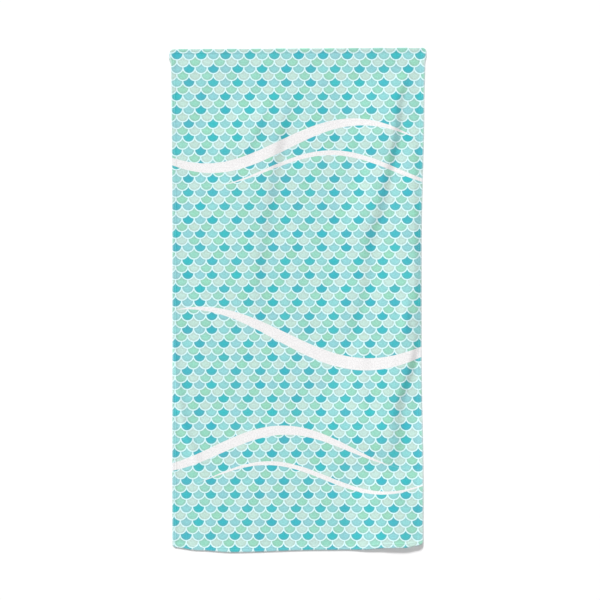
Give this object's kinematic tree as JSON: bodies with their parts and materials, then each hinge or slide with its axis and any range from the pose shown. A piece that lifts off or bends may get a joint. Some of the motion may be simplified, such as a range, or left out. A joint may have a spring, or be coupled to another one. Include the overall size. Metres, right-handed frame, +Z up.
{
  "type": "beach towel",
  "caption": "Large rectangular hemmed terry beach towel with a scallop-scale print, laid out flat with soft creases and a lifted hem corner.",
  "frame": {"origin": "on the surface that the towel lies on, under the middle of its outline", "axes": "+Z up from the surface, out of the printed face; +Y along the length, towards the head end; +X towards the towel's right side seen from above"},
  "size_m": [0.7815, 1.532, 0.0124],
  "materials": {
    "printed_terry": "soft sheared terry pile, matte, printed with overlapping scales in teal, aqua and mint with pale outlines, over white looped terry on the back"
  },
  "bodies": {
    "root": {"towel": "printed_terry"}
  },
  "joints": []
}
